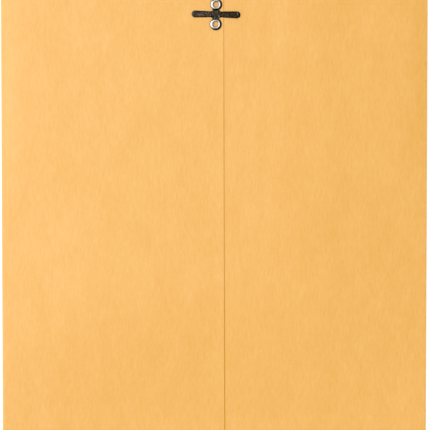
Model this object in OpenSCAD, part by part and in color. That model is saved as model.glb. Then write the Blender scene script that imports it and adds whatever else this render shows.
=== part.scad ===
// Open-end mailing envelope of kraft paper, closed by a metal clasp.
// It lies on its front with its back up. X runs across it, +Y points at the flap, and Z is up.
// The origin is on the underside, in the middle of the pocket.

/* [Envelope] */
// Width of the pocket, from side fold to side fold
envelope_w = 228.6; // [210:0.1:260]
// Height of the pocket, from the bottom fold to the fold of the flap
envelope_h = 304.8; // [270:0.1:340]
// Thickness of the paper
paper_t = 0.2; // [0.15:0.01:0.3]

/* [Pocket] */
// Clear gap between front and back beside a fold
fold_gap = 0.8; // [0.6:0.1:1.5]
// How far the middle of the back stands above its sides
pocket_rise = 5.2; // [4:0.1:8]
// Width of the flat crest along the middle of the back
crest_w = 56; // [50:1:80]
// Width over which the back bends down beside the crest
crest_bend_w = 40; // [20:1:60]
// Length over which the back rises above the bottom flap
rise_len = 90; // [60:1:110]

/* [Back seam] */
// Distance of the visible seam edge to the right of the middle
seam_offset = 5.2; // [5:0.1:8]
// Width of paper that is glued under the seam
seam_lap = 17; // [12:0.5:20]

/* [Bottom flap] */
// Height of the flap that is glued over the bottom of the back
bottom_flap_h = 32; // [20:1:40]
// How much each end of the bottom flap slants inwards
bottom_flap_slant = 9; // [4:0.5:16]

/* [Closing flap] */
// Strip of the front that shows between the throat and the fold
throat_drop = 10; // [5:0.5:14]
// Height of the closing flap, from its fold to its edge
flap_h = 57; // [50:1:70]
// Angle at which the open flap springs up from its fold
flap_lift = 5; // [2:0.5:12]
// How much each side of the closing flap tapers inwards
flap_taper = 13; // [6:0.5:20]
// Radius of the closing flap's corners
flap_corner_r = 14; // [6:0.5:20]
// Diameter of the hole that the prongs go through
flap_hole_d = 8; // [7:0.1:10]

/* [Hole patch] */
// Width of the paper patch that strengthens the hole
patch_w = 26; // [20:0.5:34]
// Height of the patch
patch_h = 22; // [16:0.5:30]
// Thickness of the patch
patch_t = 0.15; // [0.1:0.01:0.25]

/* [Clasp place] */
// Distance of the clasp, and of the hole in the flap, from the fold
clasp_from_fold = 38; // [34:0.5:42]
// Distance of the clasp to the right of the middle
clasp_offset = 0.9; // [-1:0.1:1.5]
// Angle at which the clasp was pressed in
clasp_turn = -1.2; // [-3:0.1:3]

/* [Clasp] */
// Thickness of the sheet metal
metal_t = 0.35; // [0.25:0.01:0.5]
// Distance between the two eyelets
eyelet_pitch = 10.5; // [10:0.1:13]
// Outer diameter of an eyelet's rolled rim
eyelet_d = 6.5; // [5.6:0.1:7]
// Diameter of the hole through an eyelet
eyelet_hole_d = 2.7; // [2:0.1:3.4]
// Height of a rolled rim above the paper
rim_h = 0.85; // [0.7:0.01:1.1]
// Number of claws that each eyelet has through the paper
claw_count = 4; // [3:1:6]
// Angle that one claw takes up
claw_angle = 48; // [30:1:50]
// Thickness of a claw
claw_t = 0.3; // [0.2:0.01:0.4]
// Diameter over the claws' ends, spread inside the pocket
clinch_d = 4.8; // [4.6:0.1:6]
// Width of the plate where the prongs bend
neck_w = 4.2; // [3.8:0.1:5]
// Width of the plate where it meets an eyelet
waist_w = 3.5; // [3:0.1:3.8]

/* [Prongs] */
// Length of a prong from its bend to its tip
prong_len = 10.9; // [8:0.1:14]
// Width of a prong at its bend
prong_root_w = 3.1; // [2.4:0.1:3.4]
// Width of a prong near its tip
prong_tip_w = 3.7; // [3:0.1:4.6]
// Gap that lets a prong turn in its bend
bend_gap = 0.03; // [0.02:0.01:0.06]

/* [Hidden] */

KRAFT = [0.97, 0.74, 0.43];
KRAFT_PATCH = [0.93, 0.69, 0.39];
TINNED_STEEL = [0.42, 0.40, 0.37];

// Side folds are half rounds about these centres
side_fold_r = (fold_gap + 2 * paper_t) / 2;
side_x = envelope_w / 2 - side_fold_r;
flank_w = side_x - crest_w / 2;

// The bottom fold goes round the ends of the front and the back
bottom_fold_r = (fold_gap + 3 * paper_t) / 2;
bottom_y = -envelope_h / 2 + bottom_fold_r;
fold_y = envelope_h / 2;
throat_y = fold_y - throat_drop;
rise_y = bottom_y + bottom_flap_h + 2;

// The left panel lies on the right one from the seam to here, and steps down beside it
seam_x = seam_offset;
lap_x = seam_x - seam_lap;
lap_step = 0.6;

// The closing flap starts a little inside the side folds
flap_x = side_x - 1;
bottom_flap_x = side_x - 1;
glued_top = fold_gap + 2 * paper_t;
crest_top = glued_top + pocket_rise + paper_t;

// The clasp's plate stands just clear of the paper, and each prong turns about a round root
plate_lift = 0.05;
axis_z = plate_lift + metal_t / 2;
knuckle_r = metal_t / 2 + 0.03;
rim_w = (eyelet_d - eyelet_hole_d) / 2;
rim_mid_r = (eyelet_d + eyelet_hole_d) / 4;
claw_r = eyelet_hole_d / 2 + 0.15;
clinch_t = 0.25;
slit_gap = 0.08;
clasp_y = fold_y - clasp_from_fold;

// Steps of the curved surfaces
flank_steps = 10;
rise_steps = 8;
fold_steps = 6;
corner_steps = 8;

function mix(a, b, k) = a + (b - a) * k;

// How far a sheet has dropped at distance d beside a flat, when it bends over the width b
function bend_drop(d, b) = d <= 0 ? 0 : d < b ? d * d / (2 * b) : d - b / 2;

// Share of the rise at each place across and along the back
function rise_across(x) =
    1 - bend_drop(abs(x) - crest_w / 2, crest_bend_w) / bend_drop(flank_w, crest_bend_w);
function rise_along(y) =
    let (u = min(1, max(0, (y - rise_y) / rise_len))) (1 - cos(180 * u)) / 2;

// Height of the back's inner face
function back_z(x, y) = paper_t + fold_gap + pocket_rise * rise_across(x) * rise_along(y);

// The back from right to left: x on the outer face, x on the inner face, and layers of paper
back_line = concat(
    [for (k = [0 : flank_steps]) let (x = mix(side_x, seam_x, k / flank_steps)) [x, x, 1]],
    [[seam_x, mix(seam_x, lap_x, 1 / 3), 2]],
    [[lap_x, mix(seam_x, lap_x, 2 / 3), 2]],
    [for (k = [0 : flank_steps]) let (x = mix(lap_x - lap_step, -side_x, k / flank_steps)) [x, x, 1]]
);

function fold_arc(x, r, from) =
    [for (k = [0 : fold_steps - 1]) let (a = from + 180 * k / fold_steps)
        [x + r * cos(a), side_fold_r + r * sin(a)]];

// One closed line round the pocket at y, on the outer face or on the inner face
function outer_line(y) = concat(
    fold_arc(side_x, side_fold_r, -90),
    [for (p = back_line) [p[0], back_z(p[0], y) + p[2] * paper_t]],
    fold_arc(-side_x, side_fold_r, 90 + 180 / fold_steps)
);
function inner_line(y) = concat(
    fold_arc(side_x, side_fold_r - paper_t, -90),
    [for (p = back_line) [p[1], back_z(p[1], y)]],
    fold_arc(-side_x, side_fold_r - paper_t, 90 + 180 / fold_steps)
);

// Front, side folds and back as one tube of paper, glued where the panels lap
module pocket() {
    ys = concat(
        [bottom_y],
        [for (k = [0 : rise_steps]) rise_y + rise_len * k / rise_steps],
        [throat_y]
    );
    n = len(outer_line(0));
    rows = len(ys);
    points = [
        for (face = [0, 1], y = ys, p = face == 0 ? outer_line(y) : inner_line(y)) [p[0], y, p[1]]
    ];
    function at(face, row, i) = (face * rows + row) * n + i % n;
    function two(a, b, c, d) = [[a, b, c], [a, c, d]];
    skins = [
        for (j = [0 : rows - 2], i = [0 : n - 1])
            each concat(
                two(at(0, j, i), at(0, j, i + 1), at(0, j + 1, i + 1), at(0, j + 1, i)),
                two(at(1, j, i), at(1, j + 1, i), at(1, j + 1, i + 1), at(1, j, i + 1))
            )
    ];
    ends = [
        for (i = [0 : n - 1])
            each concat(
                two(at(0, 0, i), at(1, 0, i), at(1, 0, i + 1), at(0, 0, i + 1)),
                two(at(0, rows - 1, i), at(0, rows - 1, i + 1), at(1, rows - 1, i + 1), at(1, rows - 1, i))
            )
    ];
    polyhedron(points = points, faces = concat(skins, ends), convexity = 4);
}

// The front turned up round the bottom, and glued over the back
module bottom_flap() {
    bottom_top_y = bottom_y + bottom_flap_h;
    intersection() {
        translate([-envelope_w / 2, bottom_y, 0]) rotate([90, 0, 90]) linear_extrude(envelope_w) {
            intersection() {
                translate([0, bottom_fold_r]) difference() {
                    circle(r = bottom_fold_r, $fn = 48);
                    circle(r = bottom_fold_r - paper_t, $fn = 48);
                }
                translate([-2 * bottom_fold_r, 0]) square([2 * bottom_fold_r, 2 * bottom_fold_r]);
            }
            translate([0, glued_top]) square([bottom_flap_h, paper_t]);
        }
        translate([0, 0, -1]) linear_extrude(4 * bottom_fold_r) polygon([
            [-bottom_flap_x, -envelope_h / 2 - 1],
            [bottom_flap_x, -envelope_h / 2 - 1],
            [bottom_flap_x, bottom_y],
            [bottom_flap_x - bottom_flap_slant, bottom_top_y],
            [bottom_flap_slant - bottom_flap_x, bottom_top_y],
            [-bottom_flap_x, bottom_y]
        ]);
    }
    // Over the seam's two layers the flap lies one layer higher
    translate([lap_x - lap_step, bottom_y + lap_step, glued_top + paper_t])
        cube([seam_lap + 2 * lap_step, bottom_flap_h - lap_step, paper_t]);
}

// Outline of the closing flap in its own plane, from the fold to the rounded edge
function flap_corner() =
    let (
        side = norm([flap_h, flap_taper]),
        c = [
            flap_x - (flap_corner_r + (flap_h - flap_corner_r) * flap_taper / side) * side / flap_h,
            flap_h - flap_corner_r
        ],
        lean = atan(flap_taper / flap_h)
    )
    [for (k = [0 : corner_steps]) let (a = mix(lean, 90, k / corner_steps))
        c + flap_corner_r * [cos(a), sin(a)]];

// The strip beside the throat and the flap, seen from above
module flap_outline() {
    right = [for (p = flap_corner()) [p[0], fold_y + p[1] * cos(flap_lift)]];
    left = [for (k = [corner_steps : -1 : 0]) [-right[k][0], right[k][1]]];
    start_y = throat_y - 2;
    polygon(concat(
        [[-flap_x, fold_y], [-flap_x, start_y], [flap_x, start_y], [flap_x, fold_y]],
        right,
        left
    ));
}

// The front's top strip and the flap from the side, bent at the fold
module flap_section() {
    tip = [fold_y + flap_h * cos(flap_lift), flap_h * sin(flap_lift)];
    polygon([
        [throat_y - 2, 0],
        [fold_y, 0],
        tip,
        tip + paper_t * [-sin(flap_lift), cos(flap_lift)],
        [fold_y - paper_t * tan(flap_lift / 2), paper_t],
        [throat_y - 2, paper_t]
    ]);
}

module on_flap() {
    translate([0, fold_y, 0]) rotate([flap_lift, 0, 0]) children();
}

module flap_hole() {
    translate([clasp_offset, clasp_from_fold]) circle(d = flap_hole_d, $fn = 48);
}

module closing_flap() {
    difference() {
        intersection() {
            translate([-envelope_w / 2, 0, 0]) rotate([90, 0, 90]) linear_extrude(envelope_w) flap_section();
            translate([0, 0, -1]) linear_extrude(flap_h) flap_outline();
        }
        on_flap() translate([0, 0, -paper_t]) linear_extrude(3 * paper_t) flap_hole();
    }
}

module at_clasp() {
    translate([clasp_offset, clasp_y, crest_top]) rotate([0, 0, clasp_turn]) children();
}

module at_eyelets() {
    for (side = [-1, 1]) translate([0, side * eyelet_pitch / 2, 0]) children();
}

module envelope_sheet() {
    color(KRAFT) difference() {
        union() {
            pocket();
            bottom_flap();
            closing_flap();
        }
        at_clasp() at_eyelets() claw_slits();
    }
}

module hole_patch() {
    color(KRAFT_PATCH) on_flap() translate([0, 0, paper_t]) linear_extrude(patch_t) difference() {
        translate([clasp_offset - patch_w / 2, clasp_from_fold - patch_h / 2]) square([patch_w, patch_h]);
        flap_hole();
    }
}

// A ring's part with the section size, from radius r and height z, centred on angle 0
module arc_bar(r, z, size, angle) {
    rotate([0, 0, -angle / 2]) rotate_extrude(angle = angle, $fn = 64) translate([r, z]) square(size);
}

module at_claws() {
    for (k = [0 : claw_count - 1]) rotate([0, 0, 360 * (k + 0.5) / claw_count]) children();
}

// Rolled rim, with claws that go through both layers of paper and are spread inside
module eyelet() {
    grip = 2 * paper_t;
    rotate_extrude($fn = 64) intersection() {
        translate([rim_mid_r, rim_h - rim_w / 2]) circle(d = rim_w, $fn = 64);
        square([eyelet_d, rim_h]);
    }
    at_claws() {
        arc_bar(claw_r, -grip - clinch_t, [claw_t, grip + clinch_t + rim_h / 3], claw_angle);
        arc_bar(claw_r, -grip - clinch_t, [clinch_d / 2 - claw_r, clinch_t], claw_angle);
    }
}

// The slits that the claws cut in the paper
module claw_slits() {
    slit_angle = claw_angle + 2 * slit_gap / claw_r * 180 / PI;
    at_claws()
        arc_bar(claw_r - slit_gap, -3 * paper_t, [claw_t + 2 * slit_gap, 4 * paper_t], slit_angle);
}

// The room that a prong's root turns in
module bend_seat() {
    seat_r = knuckle_r + bend_gap;
    seat_w = prong_root_w + 2 * bend_gap;
    translate([neck_w / 2, 0, axis_z]) {
        rotate([90, 0, 0]) cylinder(r = seat_r, h = seat_w, center = true, $fn = 48);
        translate([-seat_r, -seat_w / 2, 0]) cube([2 * seat_r, seat_w, metal_t]);
    }
}

// The plate from eyelet to eyelet, widest where the prongs bend
module plate_outline() {
    bend_y = prong_root_w / 2 + 0.2;
    quarter = [[neck_w / 2, bend_y], [waist_w / 2, bend_y + 0.7], [waist_w / 2, eyelet_pitch / 2]];
    polygon(concat(
        quarter,
        [for (k = [2 : -1 : 0]) [-quarter[k][0], quarter[k][1]]],
        -quarter,
        [for (k = [2 : -1 : 0]) [quarter[k][0], -quarter[k][1]]]
    ));
}

module clasp() {
    color(TINNED_STEEL) at_clasp() {
        at_eyelets() eyelet();
        difference() {
            translate([0, 0, plate_lift]) linear_extrude(metal_t) difference() {
                plate_outline();
                at_eyelets() circle(r = rim_mid_r, $fn = 48);
            }
            bend_seat();
            mirror([1, 0, 0]) bend_seat();
        }
    }
}

// One prong, pointing along +X from its bend
module prong() {
    tip_x = prong_len - prong_tip_w / 2;
    translate([neck_w / 2, 0, axis_z]) {
        rotate([90, 0, 0]) cylinder(r = knuckle_r, h = prong_root_w, center = true, $fn = 48);
        translate([0, 0, -metal_t / 2]) linear_extrude(metal_t) {
            polygon([
                [0, -prong_root_w / 2],
                [tip_x, -prong_tip_w / 2],
                [tip_x, prong_tip_w / 2],
                [0, prong_root_w / 2]
            ]);
            translate([tip_x, 0]) circle(d = prong_tip_w, $fn = 64);
        }
    }
}

module right_prong() {
    color(TINNED_STEEL) at_clasp() prong();
}

module left_prong() {
    color(TINNED_STEEL) at_clasp() mirror([1, 0, 0]) prong();
}

envelope_sheet();
hole_patch();
clasp();
left_prong();
right_prong();
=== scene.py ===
import math

import bmesh
import bpy
import numpy as np
from mathutils import Matrix, Vector


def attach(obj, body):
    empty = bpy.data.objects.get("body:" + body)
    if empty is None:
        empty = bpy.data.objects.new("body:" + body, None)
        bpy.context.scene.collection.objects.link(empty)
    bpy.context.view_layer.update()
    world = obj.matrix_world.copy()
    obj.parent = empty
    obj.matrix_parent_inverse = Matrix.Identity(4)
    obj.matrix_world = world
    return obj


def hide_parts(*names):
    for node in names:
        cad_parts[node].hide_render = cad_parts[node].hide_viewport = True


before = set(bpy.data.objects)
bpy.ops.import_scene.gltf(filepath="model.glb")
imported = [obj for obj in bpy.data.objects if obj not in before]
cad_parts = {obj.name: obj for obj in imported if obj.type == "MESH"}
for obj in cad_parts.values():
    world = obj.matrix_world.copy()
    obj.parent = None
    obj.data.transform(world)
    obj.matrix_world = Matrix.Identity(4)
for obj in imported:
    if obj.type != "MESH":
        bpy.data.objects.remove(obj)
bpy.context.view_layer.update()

MM = 0.001

# Sizes of the envelope in millimetres, as the CAD source has them
ENVELOPE_W = 228.6
ENVELOPE_H = 304.8
PAPER_T = 0.2
FOLD_GAP = 0.8
POCKET_RISE = 5.2
RISE_LEN = 90.0
RISE_MARGIN = 2.0
SEAM_X = 5.2
SEAM_LAP = 17.0
BOTTOM_FLAP_H = 32.0
BOTTOM_FLAP_SLANT = 9.0
THROAT_DROP = 10.0
FLAP_H = 57.0
FLAP_LIFT = math.radians(5)
FLAP_INSET = 1.0
FLAP_TAPER = 13.0
FLAP_CORNER_R = 14.0
FLAP_HOLE_D = 8.0
PATCH_W = 26.0
PATCH_H = 22.0
PATCH_T = 0.15

# Sizes of the clasp in millimetres
CLASP_FROM_FOLD = 38.0
CLASP_OFFSET = 0.9
CLASP_TURN = math.radians(-1.2)
METAL_T = 0.35
EYELET_PITCH = 10.5
EYELET_D = 6.5
EYELET_HOLE_D = 2.7
RIM_H = 0.85
CLAW_COUNT = 4
CLAW_ANGLE = math.radians(48)
CLAW_T = 0.3
CLINCH_D = 4.8
CLINCH_T = 0.25
NECK_W = 4.2
WAIST_W = 3.7
PRONG_LEN = 10.9
PRONG_ROOT_W = 3.1
PRONG_TIP_W = 3.7
PLATE_LIFT = 0.05

# Places that follow from the sizes
SIDE_FOLD_R = (FOLD_GAP + 2 * PAPER_T) / 2
SIDE_X = ENVELOPE_W / 2 - SIDE_FOLD_R
BOTTOM_FOLD_R = (FOLD_GAP + 3 * PAPER_T) / 2
BOTTOM_Y = -ENVELOPE_H / 2 + BOTTOM_FOLD_R
FOLD_Y = ENVELOPE_H / 2
THROAT_Y = FOLD_Y - THROAT_DROP
RISE_Y = BOTTOM_Y + BOTTOM_FLAP_H + RISE_MARGIN
LAP_X = SEAM_X - SEAM_LAP
FLAP_X = SIDE_X - FLAP_INSET
GLUED_TOP = FOLD_GAP + 2 * PAPER_T
PANEL_Z = GLUED_TOP - PAPER_T / 2
CREST_TOP = GLUED_TOP + POCKET_RISE + PAPER_T
CLASP_Y = FOLD_Y - CLASP_FROM_FOLD
RIM_W = (EYELET_D - EYELET_HOLE_D) / 2
RIM_MID_R = (EYELET_D + EYELET_HOLE_D) / 4

# Small things that only the looks need
LEFT_CREST = 26.0
RIGHT_CREST = 38.0
LEFT_BEND = 78.0
RIGHT_BEND = 30.0
GLUE_GAP = 0.02
SEAM_SLANT = 0.0028
LAP_RUN = 34.0
SEAM_LIP_LIFT = 0.08
SEAM_LIP_W = 4.0
SEAM_LIP_RUN = 20.0
EDGE_CURL = 0.28
EDGE_CURL_W = 5.0
EDGE_CURL_RUN = 12.0
SIDE_ROUND = 1.0
SIDE_ROUND_W = 10.0
SIDE_ROUND_FADE = 4.5
SIDE_ROUND_Y = -5.0
SIDE_ROUND_RUN = 60.0
WAVE_LEN = 62.0
WAVE_SQUEEZE = 0.6
WAVE_SEED = 14.1
BACK_WAVE = 0.35
FLAP_WAVE = 0.45
STEP_UP_TO_LAP = (5.0, 0.5)
STEP_DOWN_PAST_SEAM = (4.0, 0.4)
FOLD_BEND_RUN = 1.5
CROWN_W = 0.55
CROWN_DROP = 0.07
WORN_PLATE_EDGE = 0.07
WORN_PRONG_EDGE = 0.1

# Between which distances in millimetres the paper gets free to wave
CALM_AT_SIDE = (2, 30)
CALM_AT_GLUE = (-4, 50)
CALM_AT_CLASP = (14, 45)
CALM_AT_FOLD = (2, 26)

# Small sizes of the clasp in millimetres
SEAT_GAP_X = 0.06
SEAT_GAP_Y = 0.03
EAR_REACH = 0.45
EAR_T = 0.12
PRONG_ROOT_LEN = 0.5
PRONG_BELLY = 0.02
PRONG_BELLY_AT = 0.55
CLAW_INSET = 0.15
CLAW_ROOT = 0.25

# Counts of steps round curves
FOLD_STEPS = 8
CORNER_STEPS = 16
RIM_STEPS = 72
RIM_SECTION_STEPS = 36
CLAW_STEPS = 12
FILLET_STEPS = 8
TIP_STEPS = 24

# Steps of the paper's mesh in millimetres
FRONT_STEP = 3.4
RIGHT_PANEL_STEP = 2.9
LEFT_PANEL_STEP = 2.8
LAP_STEP = 2.5
SEAM_STRIP = 2.0
SEAM_COLUMNS = (1.2, 0.6, 0.2, 0.0)
SIDE_STRIP = 12.0
SIDE_STEP = 1.5
ROW_STEP = 3.0
THROAT_STEP = 2.6
CREASE_RUN = 1.8
CREASE_STEP = 0.45
FLAP_PATH_START = -3
FLAP_PATH_COUNT = 600
FLAP_STEP = 3.2
HOLE_STEP = 2.0
HOLE_CELLS = 8
HOLE_RING_W = 1.6
LEAST_ROW_GAP = 0.3
BOTTOM_FLAP_STEP = 2.7

# The patch's mesh: cells along each side, and its rings as shares of the way to the hole
PATCH_CELLS = 16
PATCH_RINGS = (0.0, 0.06, 0.3, 0.55, 0.8, 1.0)

# Stand-ins for the distance from the flap's edge, in metres, where there is no gum
FAR_INSIDE = 0.3
AT_HOLE = 0.05

# Colours of the paper, as linear red, green, blue and alpha
KRAFT_DARK = (0.900, 0.410, 0.004, 1)
KRAFT_LIGHT = (0.994, 0.522, 0.102, 1)
DRY_GUM = (0.66, 0.33, 0.07, 1)
FLAP_CREASE = (0.60, 0.29, 0.05, 1)
# The seam's line is painted shadow, in a deep orange
SEAM_GLUE_SHADOW = (0.80, 0.35, 0.0, 1)
FLAP_SHADE = (0.44, 0.19, 0.008, 1)
PATCH_DARK = (0.70, 0.345, 0.055, 1)
PATCH_LIGHT = (0.80, 0.425, 0.105, 1)

# Colours of the steel
# The flats are painted near black, standing in for the dark room that their gloss reflects
PAINTED_DIM_DARK = (0.012, 0.007, 0.002, 1)
PAINTED_DIM_LIGHT = (0.046, 0.029, 0.012, 1)
SCUFFED_STEEL = (0.62, 0.54, 0.43, 1)
RUBBED_STEEL = (0.86, 0.84, 0.79, 1)
# Painted shade for the steel's feet, its steep faces and the rims by the neck
PAINTED_SHADE = (0.012, 0.009, 0.006, 1)

# Where gum, and the painted shadow along the glued seam, begin and end on the paper, in
# millimetres
GUM_FROM_EDGE = (3.6, 4.2)
GUM_TO_EDGE = (20.6, 21.4)
GUM_FROM_PATCH = (18.8, 19.6)
GUM_SIDE_RATE = 1.06
GUM_SIDE_LEAD = 3.0
GLUE_SHADOW_LEFT = (-0.22, -0.12)
GLUE_SHADOW_RIGHT = (0.10, 0.62)


def smooth_step(value, start, end):
    share = np.clip((np.asarray(value, float) - start) / (end - start), 0, 1)
    return share * share * (3 - 2 * share)


def spread(start, end, step):
    """Evenly spaced values from start to end, about step apart."""
    count = max(1, round(abs(end - start) / step))
    return [start + (end - start) * k / count for k in range(count + 1)]


# Node trees

class NodeWork:
    """Adds nodes to one tree, and joins them as they are added."""

    def __init__(self, tree):
        self.tree = tree

    def add(self, kind, values=None, **settings):
        node = self.tree.nodes.new(kind)
        for name, value in settings.items():
            setattr(node, name, value)
        for key, value in (values or {}).items():
            self.feed(node.inputs[key], value)
        return node

    def feed(self, socket, value):
        if isinstance(value, bpy.types.NodeSocket):
            self.tree.links.new(value, socket)
        else:
            socket.default_value = value

    def math(self, operation, *values):
        node = self.add("ShaderNodeMath", operation=operation)
        for socket, value in zip(node.inputs, values):
            self.feed(socket, value)
        return node.outputs[0]

    def remap(self, value, from_low, from_high, to_low, to_high, kind="SMOOTHSTEP"):
        names = ("Value", "From Min", "From Max", "To Min", "To Max")
        values = dict(zip(names, (value, from_low, from_high, to_low, to_high)))
        return self.add("ShaderNodeMapRange", values, interpolation_type=kind).outputs[0]

    def product(self, *values):
        result = values[0]
        for value in values[1:]:
            result = self.math("MULTIPLY", result, value)
        return result

    def within(self, value):
        """The value, kept from 0 to 1."""
        return self.math("MINIMUM", self.math("MAXIMUM", value, 0.0), 1.0)

    def apart(self, value, middle):
        """How far the value is from the middle."""
        return self.math("ABSOLUTE", self.math("SUBTRACT", value, middle))

    def mix(self, share, under, over):
        """Mixes the colour over into the colour under."""
        values = {0: share, 6: under, 7: over}
        return self.add("ShaderNodeMix", values, data_type="RGBA").outputs[2]

    def split(self, vector):
        return self.add("ShaderNodeSeparateXYZ", {"Vector": vector}).outputs

    def join(self, x, y, z):
        return self.add("ShaderNodeCombineXYZ", {"X": x, "Y": y, "Z": z}).outputs[0]

    def together(self, *shapes):
        node = self.add("GeometryNodeJoinGeometry")
        for shape in shapes:
            self.tree.links.new(shape, node.inputs[0])
        return node.outputs[0]


def geometry_tree(name, sockets):
    """A Geometry Nodes tree with a geometry input and output, and the named inputs."""
    tree = bpy.data.node_groups.new(name, "GeometryNodeTree")
    tree.interface.new_socket("Geometry", in_out="INPUT", socket_type="NodeSocketGeometry")
    tree.interface.new_socket("Geometry", in_out="OUTPUT", socket_type="NodeSocketGeometry")
    for label, kind in sockets:
        tree.interface.new_socket(label, in_out="INPUT", socket_type="NodeSocket" + kind)
    work = NodeWork(tree)
    given = work.add("NodeGroupInput").outputs
    return tree, work, given


def close_tree(work, geometry, material):
    real = work.add("GeometryNodeRealizeInstances", {"Geometry": geometry}).outputs[0]
    dressed = work.add("GeometryNodeSetMaterial", {"Geometry": real, "Material": material})
    work.add("NodeGroupOutput", {"Geometry": dressed.outputs[0]})


def use_tree(piece, tree, values):
    """Puts the tree on the piece, with its inputs set by their identifiers."""
    modifier = piece.modifiers.new(tree.name, "NODES")
    modifier.node_group = tree
    for item in tree.interface.items_tree:
        if item.in_out == "INPUT" and item.name in values:
            modifier[item.identifier] = values[item.name]


# Meshes

def new_piece(name, points, faces):
    """A mesh piece from points in millimetres."""
    mesh = bpy.data.meshes.new(name)
    mesh.from_pydata([tuple(MM * c for c in p) for p in points], [], faces)
    piece = bpy.data.objects.new(name, mesh)
    bpy.context.scene.collection.objects.link(piece)
    return piece


def settle(piece, sharp_angle=40, flat_tops=False):
    """Turns the piece with all its modifiers into a plain mesh, with its faces turned outwards."""
    bpy.context.view_layer.update()
    graph = bpy.context.evaluated_depsgraph_get()
    mesh = bpy.data.meshes.new_from_object(piece.evaluated_get(graph), depsgraph=graph)
    piece.modifiers.clear()
    piece.data = mesh
    mesh.name = piece.name
    turned = bmesh.new()
    turned.from_mesh(mesh)
    bmesh.ops.recalc_face_normals(turned, faces=turned.faces)
    turned.to_mesh(mesh)
    turned.free()
    mesh.shade_smooth()
    mesh.set_sharp_from_angle(angle=math.radians(sharp_angle))
    for face in mesh.polygons:
        if flat_tops and abs(face.normal.z) > 0.9999:
            face.use_smooth = False


def paint(piece, material):
    piece.data.materials.clear()
    piece.data.materials.append(material)


def thicken(piece, thickness):
    modifier = piece.modifiers.new("thickness", "SOLIDIFY")
    modifier.thickness = thickness * MM
    modifier.offset = 0
    modifier.use_even_offset = True
    modifier.use_quality_normals = True


# Materials

def new_material(name):
    material = bpy.data.materials.new(name)
    material.use_nodes = True
    material.node_tree.nodes.clear()
    work = NodeWork(material.node_tree)
    surface = work.add("ShaderNodeBsdfPrincipled")
    work.add("ShaderNodeOutputMaterial", {"Surface": surface.outputs[0]})
    return material, work, surface.inputs


def stretched_noise(work, place, scale, detail, roughness, turn=0.0):
    """Noise whose grains are 1 / scale metres along each axis."""
    mapping = work.add("ShaderNodeMapping", {"Vector": place, "Scale": scale})
    mapping.inputs["Rotation"].default_value = (0, 0, turn)
    values = {"Vector": mapping.outputs[0], "Scale": 1.0, "Detail": detail, "Roughness": roughness}
    return work.add("ShaderNodeTexNoise", values).outputs["Fac"]


def kraft_grain(work, place):
    """Cloudy formation, fibres and specks of machine-made kraft paper, summed about 0."""
    clouds = stretched_noise(work, place, (115, 48, 115), 6, 0.76)
    fibres = stretched_noise(work, place, (1500, 210, 1500), 3, 0.6)
    specks = stretched_noise(work, place, (1900, 1500, 1900), 2, 0.6, 0.5)
    total = work.math("MULTIPLY_ADD", clouds, 0.6, -0.3)
    total = work.math("MULTIPLY_ADD", work.math("SUBTRACT", fibres, 0.5), 0.74, total)
    total = work.math("MULTIPLY_ADD", work.math("SUBTRACT", specks, 0.5), 0.5, total)
    return total, fibres, specks


def gum_coat(work, x, specks):
    """Dry gum along the flap's edge, left out round the patch."""
    edge = work.add("ShaderNodeAttribute", attribute_name="from_edge").outputs["Fac"]
    ragged = work.math("MULTIPLY_ADD", specks, 0.8 * MM, edge)
    start, full = GUM_FROM_EDGE
    inner = work.remap(ragged, start * MM, full * MM, 0.0, 1.0)
    start, end = GUM_TO_EDGE
    outer = work.remap(ragged, start * MM, end * MM, 1.0, 0.0)
    start, full = GUM_FROM_PATCH
    beside = work.remap(work.apart(x, CLASP_OFFSET * MM), start * MM, full * MM, 0.0, 1.0)
    return work.product(inner, outer, beside)


def glue_shadow_line(work, x, y):
    """A thin line of painted shadow that shows along the glued seam's edge."""
    seam = work.math("MULTIPLY_ADD", y, -SEAM_SLANT, SEAM_X * MM)
    beside = work.math("SUBTRACT", x, seam)
    start, full = GLUE_SHADOW_LEFT
    near = work.remap(beside, start * MM, full * MM, 0.0, 1.0)
    start, end = GLUE_SHADOW_RIGHT
    far = work.remap(beside, start * MM, end * MM, 1.0, 0.0)
    above_flap = work.math("GREATER_THAN", y, (BOTTOM_Y + BOTTOM_FLAP_H) * MM)
    below_throat = work.math("LESS_THAN", y, THROAT_Y * MM)
    strength = work.remap(y, -80 * MM, 60 * MM, 0.84, 0.92)
    return work.product(near, far, above_flap, below_throat, strength)


def under_flap_shade(work, x, y):
    """Shade beside the lifted edge of the bottom flap."""
    along = work.math("SUBTRACT", y, BOTTOM_Y * MM)
    slope = BOTTOM_FLAP_SLANT / BOTTOM_FLAP_H
    past_side = work.math("MULTIPLY_ADD", along, slope, work.math("ABSOLUTE", x))
    past_side = work.math("SUBTRACT", past_side, FLAP_X * MM)
    past_top = work.math("SUBTRACT", along, BOTTOM_FLAP_H * MM)
    past = work.math("MAXIMUM", past_side, past_top)
    fading = work.remap(past, 0.2 * MM, 1.3 * MM, 0.5, 0.0)
    return work.product(work.math("GREATER_THAN", past, 0.0), fading)


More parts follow.
